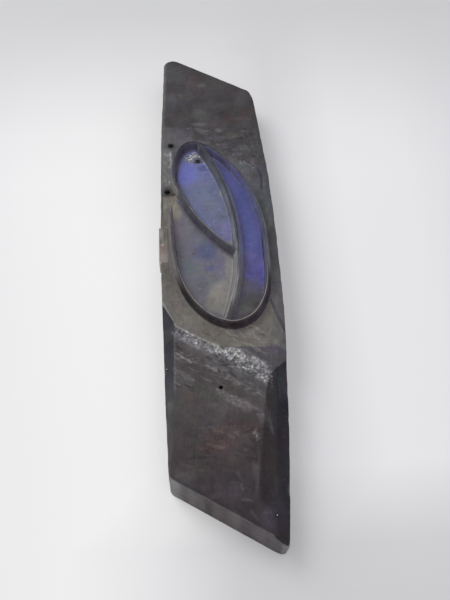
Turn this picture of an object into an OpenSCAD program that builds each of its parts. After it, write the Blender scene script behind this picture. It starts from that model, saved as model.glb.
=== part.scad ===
// Hand printing block: one plank with a raised leaf and crescent between two bevelled grips.
// Millimetres. The flat back lies on z = 0, the printing side faces +Z, the plank runs along Y,
// and the origin is the middle of the back.

/* [Plank] */
// Length along the middle line, from one slanted end cut to the other
plank_l = 454; // [380:1:520]
// Greatest width, at the middle of the length
plank_w = 98.2; // [86:0.1:120]
// Thickness of the two hand grips
grip_t = 30; // [24:0.5:40]
// Height of the printing field above the grips
field_rise = 5; // [3:0.5:8]
// How far the left side has curved in at the ends
left_bow = 5.5; // [0:0.1:12]
// How far the right side has curved in at the ends
right_bow = 14.6; // [6:0.1:20]
// Slant of the upper end cut in degrees
upper_slant = 34.4; // [20:0.1:40]
// Slant of the lower end cut in degrees
lower_slant = 32.7; // [20:0.1:40]
// Rounding of the long pointed corner at the upper left
nose_r = 9; // [2:0.5:12]
// Rounding of the blunt corner at the upper right
shoulder_r = 13; // [2:0.5:20]
// Rounding of the blunt corner at the lower left
heel_r = 6; // [1:0.5:12]
// Rounding of the pointed corner at the lower right
toe_r = 2; // [0.5:0.5:6]

/* [Field bevels] */
// Slant of both bevels in degrees
bevel_slant = 33.5; // [20:0.1:40]
// Where the upper bevel leaves the field, on the middle line
upper_edge_y = 117.4; // [112:0.1:130]
// Run of the upper bevel, measured square to its edge
upper_run = 27.2; // [10:0.1:35]
// Where the lower bevel leaves the field, on the middle line
lower_edge_y = -96.6; // [-110:0.1:-92]
// Run of the lower bevel, measured square to its edge
lower_run = 17.6; // [8:0.1:25]
// Where the worn slope at the lower right leaves the field, at worn_x
worn_y = -93.4; // [-100:0.1:-88]
// Left end of the edge of the worn slope
worn_x = -5.5; // [-20:0.1:10]
// Turn of the edge of the worn slope in degrees
worn_turn = 4.1; // [0:0.1:10]
// Dip of the worn slope in degrees
worn_dip = 7.3; // [4:0.1:15]

/* [Motif] */
// Width of the leaf and crescent figure
motif_w = 78; // [70:0.5:80]
// Length of the figure
motif_l = 197; // [180:0.5:200]
// Middle of the figure across the plank
motif_x = -0.8; // [-3:0.1:3]
// Middle of the figure along the plank
motif_y = 22.6; // [18:0.1:26]
// Height of the carved ridge above the field
ridge_h = 7.8; // [4:0.1:9]
// Width of the carved ridge at its crest
crest_w = 2.2; // [2:0.1:4]
// Foot of the ridge outside its centre line
foot_out = 3.1; // [2:0.1:5]
// Foot of the ridge inside the figure
foot_in = 1.8; // [1.6:0.1:5]
// Foot of the ridge on the crescent side of the dividing arc
foot_crescent = 5; // [2:0.1:6]

/* [Strips] */
// Thickness of the strips that stand on edge along the crest
strip_t = 0.8; // [0.6:0.1:1.2]
// Height of the strips above the crest
strip_proud = 0.8; // [0.5:0.1:3]
// Depth of the strips in the crest
strip_seat = 6; // [3:0.1:8]
// Clearance on each side of a strip
strip_fit = 0.1; // [0.05:0.05:0.2]
// Gap where two strips meet
joint_gap = 0.2; // [0.1:0.05:0.5]

/* [Inlays] */
// Thickness of the felt inlays, level with the field
felt_t = 3; // [1.5:0.5:5]
// Clearance around a felt inlay
felt_fit = 0.2; // [0.1:0.05:0.5]
// Strip of field left between a ridge and the recess of an inlay
felt_land = 0.3; // [0.2:0.1:1]

/* [Edge patch] */
// Length of the slip let into the left edge
patch_l = 36.6; // [20:0.1:60]
// Middle of the slip along the plank
patch_y = 8.7; // [0:0.1:20]
// Depth of the slip below the field
patch_h = 15; // [8:0.5:25]
// How deep the slip is let into the edge, from the widest place of the plank
patch_in = 5.7; // [5.3:0.1:6]
// Thickness of the slip
patch_t = 7.1; // [5:0.1:9]
// Clearance at each end of the slip
patch_fit = 0.15; // [0.05:0.05:0.4]

/* [Chamfers] */
// Depth of the long chamfers below the grip face
chamfer_h = 7.5; // [4:0.5:12]
// Greatest width of the left chamfer
left_chamfer_w = 9.3; // [4:0.1:10]
// Greatest width of the right chamfer
right_chamfer_w = 9.8; // [4:0.1:12]
// Depth of the shallow facet inside the right chamfer
facet_h = 2.5; // [1:0.1:4]

/* [Holes and pins] */
// Diameter of the two holes near the left edge
edge_hole_d = 5; // [3:0.1:6]
// Diameter of the hole in the leaf
leaf_hole_d = 5; // [3:0.1:6]
// Depth of these three holes below the field
hole_deep = 16; // [8:0.5:25]
// Diameter of the hole in the lower grip
grip_hole_d = 3; // [2:0.1:5]
// Depth of the hole in the lower grip
grip_hole_deep = 14; // [6:0.5:20]
// Diameter of the two small pins
pin_d = 1.6; // [1:0.1:2.5]
// Length of the pins
pin_l = 8; // [5:0.5:12]
// How far the pins stand out
pin_proud = 0.6; // [0.2:0.1:1]
// Place of the pin in the left chamfer, 0 at the lower edge of the field and 1 at the low corner
edge_pin_at = 0.063; // [0.03:0.001:0.2]
// Place of the pin in the right chamfer, counted the same way
grip_pin_at = 0.858; // [0.84:0.001:0.9]

/* [Hidden] */
$fn = 48;
half_w = plank_w / 2;
field_z = grip_t + field_rise;
crest_z = field_z + ridge_h;
seat_z = crest_z - strip_seat;
strip_h = strip_seat + strip_proud;
recess_z = field_z - felt_t;
reach = plank_l / 2 + half_w * tan(upper_slant);
far = plank_l;
groove_w = strip_t + 2 * strip_fit;
patch_x = -half_w + patch_in;
patch_end = patch_l / 2 + patch_fit;
chamfer_z = grip_t - chamfer_h;
facet_z = grip_t - facet_h;

// Outline of the plank

function side_x(side, y) = side * (half_w - (side < 0 ? left_bow : right_bow) * pow(y / reach, 2));
function side_dir(side, y) =
  unit([-side * 2 * (side < 0 ? left_bow : right_bow) * y / (reach * reach), 1]);
function slant(end) = end > 0 ? upper_slant : lower_slant;
function end_y(end, x) = end * plank_l / 2 - x * tan(slant(end));
function corner(side, end, y, steps) = steps == 0 ? [side_x(side, y), y]
  : corner(side, end, end_y(end, side_x(side, y)), steps - 1);
function unit(v) = v / norm(v);
function left_of(v) = [-v[1], v[0]];
// A corner rounded to radius r between the way in and the way out, turning left
function rounded(p, way_in, way_out, r, steps) =
  let (turn = acos(way_in * way_out), back = r * tan(turn / 2),
    middle = p - way_in * back + left_of(way_in) * r)
  [for (i = [0:steps]) let (a = turn * i / steps)
    middle + r * (way_in * sin(a) - left_of(way_in) * cos(a))];
function side_run(side, y0, y1, steps) =
  [for (i = [1:steps - 1]) let (y = y0 + (y1 - y0) * i / steps) [side_x(side, y), y]];

function plank_outline() =
  let (low_r = corner(1, -1, 0, 6), top_r = corner(1, 1, 0, 6),
    top_l = corner(-1, 1, 0, 6), low_l = corner(-1, -1, 0, 6),
    low_way = [cos(lower_slant), -sin(lower_slant)],
    top_way = [-cos(upper_slant), sin(upper_slant)],
    c1 = rounded(low_r, low_way, side_dir(1, low_r[1]), toe_r, 6),
    c2 = rounded(top_r, side_dir(1, top_r[1]), top_way, shoulder_r, 6),
    c3 = rounded(top_l, top_way, -side_dir(-1, top_l[1]), nose_r, 10),
    c4 = rounded(low_l, -side_dir(-1, low_l[1]), low_way, heel_r, 6))
  concat(c1, side_run(1, c1[6][1], c2[0][1], 14), c2, c3,
    side_run(-1, c3[10][1], c4[0][1], 14), c4);

module plank_shape() {
  polygon(plank_outline());
}

// Curves of the figure

// Points of the outline as shares of the figure's width and length, read off by eye: from the
// upper left down, round the foot, up the right side, over the top and down to the leaf's tip
shares = [[-0.520, 0.150], [-0.516, 0.118], [-0.510, 0.083], [-0.497, -0.003],
  [-0.485, -0.105], [-0.441, -0.226], [-0.331, -0.357], [-0.163, -0.448], [0.017, -0.493],
  [0.171, -0.496], [0.337, -0.453], [0.459, -0.348], [0.499, -0.181], [0.478, 0.050],
  [0.344, 0.250], [0.124, 0.393], [-0.028, 0.458], [-0.163, 0.491], [-0.265, 0.498],
  [-0.374, 0.465], [-0.450, 0.383], [-0.459, 0.281], [-0.385, 0.190], [-0.241, 0.063],
  [-0.028, -0.057], [0.198, -0.148]];
steps = 4;
worn_to = 3 * steps;
foot_at = 8 * steps;
top_at = 17 * steps;
tip_at = 25 * steps;

function in_motif(s) = [motif_x + s[0] * motif_w, motif_y + s[1] * motif_l];
function between(a, b, c, d, t) = 0.5 * (2 * b + (c - a) * t + (2 * a - 5 * b + 4 * c - d) * t * t
  + (3 * b - a - 3 * c + d) * t * t * t);
function smooth(p, n) = let (m = len(p) - 1)
  concat([for (i = [0:m - 1], k = [0:n - 1])
    between(i > 0 ? p[i - 1] : 2 * p[0] - p[1], p[i], p[i + 1],
      i < m - 1 ? p[i + 2] : 2 * p[m] - p[m - 1], k / n)], [p[m]]);
function part_of(c, first, last) = [for (i = [first:last]) c[i]];
function backwards(c) = [for (i = [len(c) - 1:-1:0]) c[i]];
function way(c, i) = unit(c[min(i + 1, len(c) - 1)] - c[max(i - 1, 0)]);
function shifted(c, left) = [for (i = [0:len(c) - 1]) c[i] + left * left_of(way(c, i))];
function band(c, w) = concat(shifted(c, w / 2), backwards(shifted(c, -w / 2)));

outline = smooth([for (s = shares) in_motif(s)], steps);
outline_in = shifted(outline, foot_in + felt_land);

// The dividing arc runs from the foot of the figure to its top through a point beside the leaf
foot_p = outline[foot_at];
top_p = outline[top_at];
side_p = in_motif([0.2026, -0.0843]);
function middle_of(a, b, c) = let (p = b - a, q = c - a, k = 2 * (p[0] * q[1] - p[1] * q[0]),
    pp = p * p, qq = q * q)
  a + [(q[1] * pp - p[1] * qq) / k, (p[0] * qq - q[0] * pp) / k];
arc_mid = middle_of(foot_p, side_p, top_p);
arc_r = norm(foot_p - arc_mid);
arc_from = atan2(foot_p[1] - arc_mid[1], foot_p[0] - arc_mid[0]);
arc_to = atan2(top_p[1] - arc_mid[1], top_p[0] - arc_mid[0]);
function arc_line(over) = [for (i = [-over:24 + over])
  let (a = arc_from + (arc_to - arc_from) * i / 24) arc_mid + arc_r * [cos(a), sin(a)]];

module disc(r) {
  translate(arc_mid) circle(r = r, $fn = 360);
}

// A solid swept along a curve; the profile is given as [left of the curve, height over the field],
// and the height grows from worn_share at the start of the curve to the whole at point worn
module swept(c, profile, worn = 0, worn_share = 0.15) {
  n = len(c);
  m = len(profile);
  function rise(i, h) = h < 0 || i >= worn ? h : h * (worn_share + (1 - worn_share) * i / worn);
  polyhedron(
    points = [for (i = [0:n - 1], q = profile) let (l = left_of(way(c, i)))
      [c[i][0] + l[0] * q[0], c[i][1] + l[1] * q[0], field_z + rise(i, q[1])]],
    faces = concat([[for (j = [0:m - 1]) j]], [[for (j = [m - 1:-1:0]) (n - 1) * m + j]],
      [for (i = [0:n - 2], j = [0:m - 1]) [i * m + j, (i + 1) * m + j, (i + 1) * m + (j + 1) % m]],
      [for (i = [0:n - 2], j = [0:m - 1])
        [i * m + j, (i + 1) * m + (j + 1) % m, i * m + (j + 1) % m]]));
}

// The ridge profile goes half a millimetre into the field
function ridge(left_foot, right_foot) =
  let (l = (left_foot - crest_w / 2) / ridge_h / 2, r = (right_foot - crest_w / 2) / ridge_h / 2)
  [[left_foot + l, -0.5], [crest_w / 2, ridge_h], [-crest_w / 2, ridge_h],
    [-right_foot - r, -0.5]];

module ridges() {
  intersection() {
    swept(outline, ridge(foot_in, foot_out), worn_to);
    linear_extrude(crest_z + 1) plank_shape();
  }
  intersection() {
    swept(arc_line(1), ridge(foot_out, foot_crescent));
    linear_extrude(crest_z + 1) polygon(part_of(outline, 2 * steps, 22 * steps));
  }
}

module grooves() {
  translate([0, 0, seat_z]) linear_extrude(strip_seat + 1) {
    polygon(band(part_of(outline, worn_to, tip_at), groove_w));
    intersection() {
      polygon(band(arc_line(1), groove_w));
      polygon(part_of(outline, 2 * steps, 22 * steps));
    }
  }
}

// Cells between the ridges, drawn in by a margin on every side

module petal_cell(margin) {
  intersection() {
    polygon(concat(shifted(part_of(outline, top_at, tip_at), foot_in + margin),
      [[half_w, motif_y - motif_l / 5], [half_w, top_p[1]]]));
    disc(arc_r - foot_out - margin);
  }
}

module crescent_cell(margin) {
  difference() {
    polygon(shifted(part_of(outline, foot_at + 2, top_at - 3), foot_in + margin));
    disc(arc_r + foot_crescent + margin);
  }
}

module lower_cell(margin) {
  intersection() {
    polygon(concat(shifted(part_of(outline, 3, foot_at), foot_in + margin),
      [[half_w, foot_p[1]], [half_w, motif_y - motif_l / 5]],
      backwards(shifted(part_of(outline, 22 * steps, tip_at), -foot_out - margin))));
    disc(arc_r - foot_out - margin);
  }
}

// A bevel falling from the field to a grip; depth is counted along +Y
module bevel_cut(run) {
  up = 12;
  rotate([90, 0, 90]) translate([0, 0, -far / 2]) linear_extrude(far)
    polygon([[-run * up / field_rise, field_z + up], [run, grip_t], [far, grip_t],
      [far, field_z + up]]);
}

module worn_cut() {
  fall = tan(worn_dip);
  translate([worn_x, worn_y, 0]) rotate(-worn_turn) mirror([0, 1, 0])
    rotate([90, 0, 90]) translate([0, 0, -far / 2]) linear_extrude(far)
      polygon([[-5, field_z + 5 * fall], [field_rise / fall, grip_t], [far, grip_t],
        [far, field_z + 9], [-5, field_z + 9]]);
}

// A cut along the plank between two lines; rows hold [y, inner x, inner z, outer x, outer z]
module side_cut(rows, side) {
  n = len(rows);
  points = [for (r = rows) let (a = [r[1], r[2]], b = [r[3], r[4]], out = b - a)
    each [[a[0] - out[0] * 0.8, r[0], a[1] - out[1] * 0.8],
      [b[0] + out[0] * 0.4, r[0], b[1] + out[1] * 0.4],
      [b[0] + side * 6, r[0], a[1] + 14]]];
  function tri(p, q, s) = side > 0 ? [p, q, s] : [s, q, p];
  polyhedron(points = points, faces = concat([tri(0, 1, 2)],
    [tri(3 * n - 1, 3 * n - 2, 3 * n - 3)],
    [for (i = [0:n - 2], j = [0:2]) tri(3 * i + j, 3 * i + 3 + j, 3 * i + 3 + (j + 1) % 3)],
    [for (i = [0:n - 2], j = [0:2]) tri(3 * i + j, 3 * i + 3 + (j + 1) % 3, 3 * i + (j + 1) % 3)]));
}

// Rows of a cut are counted in shares of the way from the lower edge of the field to the low corner
low_y = corner(1, -1, 0, 6)[1];
function row_y(share) = lower_edge_y + share * (low_y - lower_edge_y);

// The stopped chamfer of the left side dies out upward at the field and downward at the grip;
// rows hold [share, share of the width, height inside, height outside]
left_rows = [[-0.292, 0.054, field_z + 0.3, field_z - 0.3], [-0.174, 1, field_z, chamfer_z],
  [-0.03, 0.925, grip_t, chamfer_z], [0.258, 0.753, grip_t, chamfer_z],
  [0.52, 0.387, grip_t, grip_t - chamfer_h * 0.6], [0.664, 0.14, grip_t, grip_t - chamfer_h / 4],
  [0.756, 0.054, grip_t + 0.6, grip_t]];

// The right chamfer runs out through the lower end
right_rows = [[-0.069, 0.051, field_z + 0.3, field_z - 0.3],
  [0.088, 0.97, field_z - 2.2, chamfer_z], [0.3235, 1, facet_z, chamfer_z],
  [0.782, 0.878, facet_z, chamfer_z], [1.109, 0.67, facet_z, chamfer_z]];

// A shallow facet inside the right chamfer widens downward and stops short of the end
facet_rows = [[0.035, 0.041, field_z - 1.4, field_z - 2],
  [0.13, 0.44, field_z - 2.6, field_z - 3.8], [0.225, 0.78, grip_t + 0.5, grip_t - 1.2],
  [0.327, 0.87, grip_t, facet_z], [0.441, 1.1, grip_t, facet_z], [0.69, 1.39, grip_t, facet_z],
  [0.795, 1.4, grip_t, facet_z], [0.828, 1.2, grip_t + 1.5, grip_t + 0.5]];

function rows_of(rows, side, w, in) = [for (r = rows)
  let (y = row_y(r[0]), x = side_x(side, y) - side * in) [y, x - side * w * r[1], r[2], x, r[3]]];
function width_at(rows, w, y) =
  lookup((y - lower_edge_y) / (low_y - lower_edge_y), [for (r = rows) [r[0], r[1] * w]]);

module left_chamfer() {
  side_cut(rows_of(left_rows, -1, left_chamfer_w, 0), -1);
}

module right_chamfer() {
  side_cut(rows_of(right_rows, 1, right_chamfer_w, 0), 1);
}

module right_facet() {
  side_cut(rows_of(facet_rows, 1, right_chamfer_w, right_chamfer_w * 0.95), 1);
}

// Where things are placed by eye, from the edges that they belong to
hole_a = [10.4 - half_w, upper_edge_y + 7.3];
hole_b = [6.5 - half_w, motif_y + 45.5];
leaf_hole = in_motif([-0.177, 0.413]);
grip_hole = [-5.3, lower_edge_y - 30];

// The pins stand in the slopes of the chamfers, at a share of the width from the outer edge
edge_pin_y = row_y(edge_pin_at);
grip_pin_y = row_y(grip_pin_at);
edge_pin_share = 0.27;
grip_pin_share = 1.17;
edge_pin_p = [side_x(-1, edge_pin_y)
  + edge_pin_share * width_at(left_rows, left_chamfer_w, edge_pin_y), edge_pin_y];
grip_pin_p = [side_x(1, grip_pin_y)
  - grip_pin_share * width_at(right_rows, right_chamfer_w, grip_pin_y), grip_pin_y];
edge_pin_z = chamfer_z + edge_pin_share * chamfer_h;
grip_pin_z = chamfer_z + grip_pin_share * (facet_z - chamfer_z);

module pin(place, surface, fit) {
  translate([place[0], place[1], surface + pin_proud - pin_l])
    cylinder(d = pin_d + 2 * fit, h = pin_l + (fit > 0 ? 5 : 0));
}

module wood_block() {
  color([0.36, 0.33, 0.34])
  difference() {
    union() {
      difference() {
        linear_extrude(field_z) plank_shape();
        translate([0, upper_edge_y, 0]) rotate(-bevel_slant) bevel_cut(upper_run);
        translate([0, lower_edge_y, 0]) rotate(-bevel_slant) mirror([0, 1, 0]) bevel_cut(lower_run);
        worn_cut();
        left_chamfer();
        right_chamfer();
        right_facet();
      }
      ridges();
    }
    grooves();
    translate([0, 0, recess_z]) linear_extrude(felt_t + 0.2) {
      petal_cell(felt_land);
      crescent_cell(felt_land);
      lower_cell(felt_land);
    }
    for (h = [hole_a, hole_b])
      translate([h[0], h[1], field_z - hole_deep]) cylinder(d = edge_hole_d, h = hole_deep + 1);
    translate([leaf_hole[0], leaf_hole[1], field_z - hole_deep])
      cylinder(d = leaf_hole_d, h = hole_deep + 1);
    translate([grip_hole[0], grip_hole[1], grip_t - grip_hole_deep])
      cylinder(d = grip_hole_d, h = grip_hole_deep + 1);
    translate([patch_x - half_w / 2, patch_y - patch_end, field_z - patch_h])
      cube([half_w / 2, 2 * patch_end, patch_h + 1]);
    pin(grip_pin_p, grip_pin_z, 0.05);
    pin(edge_pin_p, edge_pin_z, 0.05);
  }
}

module outer_strip() {
  // Starts one joint gap inside its groove, below the worn end of the ridge
  ring = part_of(outline, worn_to, top_at);
  color([0.62, 0.55, 0.40])
  translate([0, 0, seat_z]) linear_extrude(strip_h)
    polygon(band(concat([ring[0] + joint_gap * way(ring, 0)], part_of(ring, 1, len(ring) - 1)),
      strip_t));
}

module petal_strip() {
  // Starts one joint gap after the outer strip and stops one joint gap before the crescent strip
  leaf = part_of(outline, top_at, tip_at);
  start = leaf[0] + joint_gap * way(leaf, 0);
  color([0.62, 0.55, 0.40])
  translate([0, 0, seat_z]) linear_extrude(strip_h) intersection() {
    polygon(band(concat([start], part_of(leaf, 1, len(leaf) - 1)), strip_t));
    union() {
      disc(arc_r - strip_t / 2 - joint_gap);
      translate([-half_w, motif_y]) square([plank_w, motif_l]);
    }
  }
}

module crescent_strip() {
  color([0.62, 0.55, 0.40])
  translate([0, 0, seat_z]) linear_extrude(strip_h) intersection() {
    polygon(band(arc_line(1), strip_t));
    polygon(shifted(part_of(outline, 2 * steps, 22 * steps), strip_t / 2 + joint_gap));
  }
}

module petal_felt() {
  color([0.58, 0.62, 0.78])
  difference() {
    translate([0, 0, recess_z]) linear_extrude(felt_t) petal_cell(felt_land + felt_fit);
    translate([leaf_hole[0], leaf_hole[1], recess_z - 1])
      cylinder(d = leaf_hole_d + 2 * felt_fit, h = felt_t + 2);
  }
}

module crescent_felt() {
  color([0.42, 0.44, 0.66])
  translate([0, 0, recess_z]) linear_extrude(felt_t) crescent_cell(felt_land + felt_fit);
}

module lower_felt() {
  color([0.55, 0.53, 0.56])
  translate([0, 0, recess_z]) linear_extrude(felt_t) lower_cell(felt_land + felt_fit);
}

module edge_patch() {
  color([0.72, 0.64, 0.58])
  translate([patch_x - patch_t, patch_y - patch_l / 2, field_z - patch_h])
    cube([patch_t, patch_l, patch_h]);
}

module grip_pin() {
  color([0.80, 0.80, 0.80]) pin(grip_pin_p, grip_pin_z, 0);
}

module edge_pin() {
  color([0.80, 0.80, 0.80]) pin(edge_pin_p, edge_pin_z, 0);
}

wood_block();
outer_strip();
petal_strip();
crescent_strip();
petal_felt();
crescent_felt();
lower_felt();
edge_patch();
grip_pin();
edge_pin();
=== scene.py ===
"""Looks for the hand printing block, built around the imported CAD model. Lengths are in millimetres
inside the functions and in metres in Blender; colours are written as they look, 0 to 255."""
import math

import bmesh
import bpy
import numpy as np
from mathutils import Matrix, Vector


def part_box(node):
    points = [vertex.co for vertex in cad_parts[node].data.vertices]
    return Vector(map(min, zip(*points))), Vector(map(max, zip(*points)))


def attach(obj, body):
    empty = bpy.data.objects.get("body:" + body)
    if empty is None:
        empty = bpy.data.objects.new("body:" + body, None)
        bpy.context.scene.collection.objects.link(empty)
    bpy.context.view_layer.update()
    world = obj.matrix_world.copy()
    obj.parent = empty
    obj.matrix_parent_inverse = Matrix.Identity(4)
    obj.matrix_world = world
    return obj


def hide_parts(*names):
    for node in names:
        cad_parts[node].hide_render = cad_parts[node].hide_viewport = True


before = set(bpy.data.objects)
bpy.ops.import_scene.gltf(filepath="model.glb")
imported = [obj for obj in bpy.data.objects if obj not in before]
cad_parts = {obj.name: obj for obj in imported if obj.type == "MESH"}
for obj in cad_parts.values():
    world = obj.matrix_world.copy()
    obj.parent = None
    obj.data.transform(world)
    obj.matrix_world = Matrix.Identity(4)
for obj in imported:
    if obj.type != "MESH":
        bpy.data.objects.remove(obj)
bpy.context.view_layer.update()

MM = 0.001
# heights of the field, the grips, the crests of the ridges, and the tops and feet of the strips
FIELD, GRIP, CREST, TOP, SEAT = 35.0, 30.0, 42.8, 43.6, 36.8
SLANT = math.radians(33.5)  # of the bevels, from X
LEFT, RIGHT = -1, 1
WOOD_VOXEL, FINE_VOXEL = 0.7, 0.6


# numbers over space

def hashed(i, j, k, seed):
    """A random number from -1 to 1 for each cell of a grid, scattered by large primes."""
    h = (i * 73856093) ^ (j * 19349663) ^ (k * 83492791) ^ (seed * 15485863)
    h = (h ^ (h >> 13)) * 1274126177 & 0x7FFFFFFFFFFF
    h = (h ^ (h >> 16)) & 0xFFFFFF
    return h / 0x7FFFFF - 1.0


def noise(p, size, seed):
    """Smooth noise from -1 to 1 at the points p, with lumps of the given size."""
    q = p / np.asarray(size, float)
    base = np.floor(q).astype(np.int64)
    f = q - base
    f = f * f * (3 - 2 * f)
    total = 0.0
    for dx in (0, 1):
        wx = f[:, 0] if dx else 1 - f[:, 0]
        for dy in (0, 1):
            wy = wx * (f[:, 1] if dy else 1 - f[:, 1])
            for dz in (0, 1):
                w = wy * (f[:, 2] if dz else 1 - f[:, 2])
                total = total + w * hashed(base[:, 0] + dx, base[:, 1] + dy, base[:, 2] + dz, seed)
    return total


def layers(p, size, seed, count=3):
    """Noise with finer and weaker noise added to it."""
    size = np.asarray(size, float)
    out, weight = 0.0, 0.0
    for i in range(count):
        out = out + noise(p, size / 2 ** i, seed + 17 * i) / 2 ** i
        weight += 1 / 2 ** i
    return out / weight


def ramp(v, start, end):
    """0 up to start, 1 from end on, smooth between; end may lie below start."""
    t = np.clip((v - start) / (end - start), 0, 1)
    return t * t * (3 - 2 * t)


def along(p, line):
    """Distance from p (xy) to an open polyline, and how far along it the nearest point lies (0 to 1)."""
    line = np.asarray(line, float)
    best = np.full(len(p), 1e9)
    where = np.zeros(len(p))
    n = len(line) - 1
    for i in range(n):
        a, b = line[i], line[i + 1]
        ab = b - a
        t = np.clip(((p[:, :2] - a) @ ab) / (ab @ ab), 0, 1)
        d = np.hypot(p[:, 0] - a[0] - t * ab[0], p[:, 1] - a[1] - t * ab[1])
        hit = d < best
        best[hit] = d[hit]
        where[hit] = (i + t[hit]) / n
    return best, where


def inside(p, ring):
    """Whether each point (xy) is inside a closed polygon."""
    ring = np.asarray(ring, float)
    out = np.zeros(len(p), bool)
    x, y = p[:, 0], p[:, 1]
    for (x0, y0), (x1, y1) in zip(ring, np.roll(ring, -1, axis=0)):
        if y0 != y1:
            out ^= ((y0 > y) != (y1 > y)) & (x < (x1 - x0) * (y - y0) / (y1 - y0) + x0)
    return out


# curves of the figure

MOTIF_X, MOTIF_Y, MOTIF_W, MOTIF_L = -0.8, 22.6, 78.0, 197.0
SHARES = [(-.520, .150), (-.516, .118), (-.510, .083), (-.497, -.003), (-.485, -.105), (-.441, -.226), (-.331, -.357),
          (-.163, -.448), (.017, -.493), (.171, -.496), (.337, -.453), (.459, -.348), (.499, -.181), (.478, .050),
          (.344, .250), (.124, .393), (-.028, .458), (-.163, .491), (-.265, .498), (-.374, .465), (-.450, .383),
          (-.459, .281), (-.385, .190), (-.241, .063), (-.028, -.057), (.198, -.148)]
ARC_THROUGH = (.2026, -.0843)
SPANS = len(SHARES) - 1
STEPS = 4  # a span


def smooth_line(p, n):
    """A curve through all the points, with n steps a span."""
    p = np.asarray(p, float)
    m = len(p) - 1
    out = []
    for i in range(m):
        a = p[i - 1] if i else 2 * p[0] - p[1]
        b, c = p[i], p[i + 1]
        d = p[i + 2] if i < m - 1 else 2 * p[m] - p[m - 1]
        for k in range(n):
            t = k / n
            out.append(0.5 * (2 * b + (c - a) * t + (2 * a - 5 * b + 4 * c - d) * t * t
                              + (3 * b - a - 3 * c + d) * t ** 3))
    out.append(p[m])
    return np.array(out)


def circle_through(a, b, c):
    """Middle and radius of the circle through three points."""
    p, q = b - a, c - a
    k = 2 * (p[0] * q[1] - p[1] * q[0])
    mid = a + np.array([q[1] * (p @ p) - p[1] * (q @ q), p[0] * (q @ q) - q[0] * (p @ p)]) / k
    return mid, np.linalg.norm(a - mid)


def in_motif(s):
    """A place given in shares of the figure's width and length."""
    return np.array([MOTIF_X + s[0] * MOTIF_W, MOTIF_Y + s[1] * MOTIF_L])


def ways(line):
    """The unit direction of a line at each of its points."""
    way = np.gradient(line, axis=0)
    return way / np.linalg.norm(way, axis=1)[:, None]


def evenly(line, step):
    """The same line with points about step apart, and how far along it each one lies."""
    lengths = np.concatenate([[0], np.cumsum(np.linalg.norm(np.diff(line, axis=0), axis=1))])
    s = np.linspace(0, lengths[-1], max(2, int(round(lengths[-1] / step)) + 1))
    return np.stack([np.interp(s, lengths, line[:, 0]), np.interp(s, lengths, line[:, 1])], 1), s


OUTLINE = smooth_line([in_motif(s) for s in SHARES], STEPS)
# points of the outline: its worn end, the foot and the top of the arc, the tip of the leaf
WORN_TO, FOOT_AT, TOP_AT, TIP_AT = 3 * STEPS, 8 * STEPS, 17 * STEPS, 25 * STEPS
ARC_MID, ARC_R = circle_through(OUTLINE[FOOT_AT], in_motif(ARC_THROUGH), OUTLINE[TOP_AT])


def arc_line(count):
    """The arc between the leaf and the crescent, from its foot to its top."""
    a = [math.atan2(*(p - ARC_MID)[::-1]) for p in (OUTLINE[FOOT_AT], OUTLINE[TOP_AT])]
    t = np.linspace(a[0], a[1], count)
    return ARC_MID + ARC_R * np.stack([np.cos(t), np.sin(t)], 1)


ARC = arc_line(60)


# mesh helpers

def placed(name, data):
    ob = bpy.data.objects.new(name, data)
    bpy.context.scene.collection.objects.link(ob)
    return ob


def object_of(name, verts, faces):
    """A smooth mesh object from points in millimetres."""
    mesh = bpy.data.meshes.new(name)
    mesh.from_pydata([tuple(v) for v in np.asarray(verts) * MM], [], [tuple(int(i) for i in f) for f in faces])
    mesh.validate()
    mesh.polygons.foreach_set("use_smooth", [True] * len(mesh.polygons))
    return placed(name, mesh)


def joined_copy(name, nodes):
    """One mesh object that holds copies of CAD nodes, welded."""
    bm = bmesh.new()
    for node in nodes:
        bm.from_mesh(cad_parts[node].data)
    bmesh.ops.remove_doubles(bm, verts=bm.verts, dist=1e-6)
    mesh = bpy.data.meshes.new(name)
    bm.to_mesh(mesh)
    bm.free()
    return placed(name, mesh)


def remeshed(ob, voxel):
    """The object, its mesh rebuilt from even quads."""
    mod = ob.modifiers.new("remesh", "REMESH")
    mod.mode = "VOXEL"
    mod.voxel_size = voxel * MM
    deps = bpy.context.evaluated_depsgraph_get()
    mesh = bpy.data.meshes.new_from_object(ob.evaluated_get(deps))
    old = ob.data
    ob.modifiers.clear()
    ob.data = mesh
    mesh.name = ob.name
    bpy.data.meshes.remove(old)
    mesh.materials.clear()
    mesh.polygons.foreach_set("use_smooth", [True] * len(mesh.polygons))
    return ob


def vectors(rows, name):
    out = np.empty(len(rows) * 3, np.float32)
    rows.foreach_get(name, out)
    return out.reshape(-1, 3).astype(float)


def points_of(ob):
    return vectors(ob.data.vertices, "co") / MM


def normals_of(ob):
    return vectors(ob.data.vertex_normals, "vector")


def set_points(ob, p):
    ob.data.vertices.foreach_set("co", (p * MM).astype(np.float32).ravel())
    ob.data.update()


def relaxed(ob, p, rounds):
    """Points moved halfway to the mean of their neighbours in each round, which rounds the edges."""
    ends = np.empty(len(ob.data.edges) * 2, np.int32)
    ob.data.edges.foreach_get("vertices", ends)
    a, b = ends.reshape(-1, 2).T
    count = np.bincount(ends, minlength=len(p)).astype(float)[:, None]
    for _ in range(rounds):
        total = np.stack([np.bincount(a, v[b], len(p)) + np.bincount(b, v[a], len(p)) for v in p.T], 1)
        p = p + 0.5 * (total / count - p)
    return p


def even_copy(name, nodes, voxel, rounds):
    """A copy of CAD nodes from even quads with rounded edges, up to the crests; also its points and normals."""
    ob = remeshed(joined_copy(name, nodes), voxel)
    p = points_of(ob)
    p[:, 2] = np.minimum(p[:, 2], CREST)
    p = relaxed(ob, p, rounds)
    set_points(ob, p)
    return ob, p, normals_of(ob)


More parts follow.
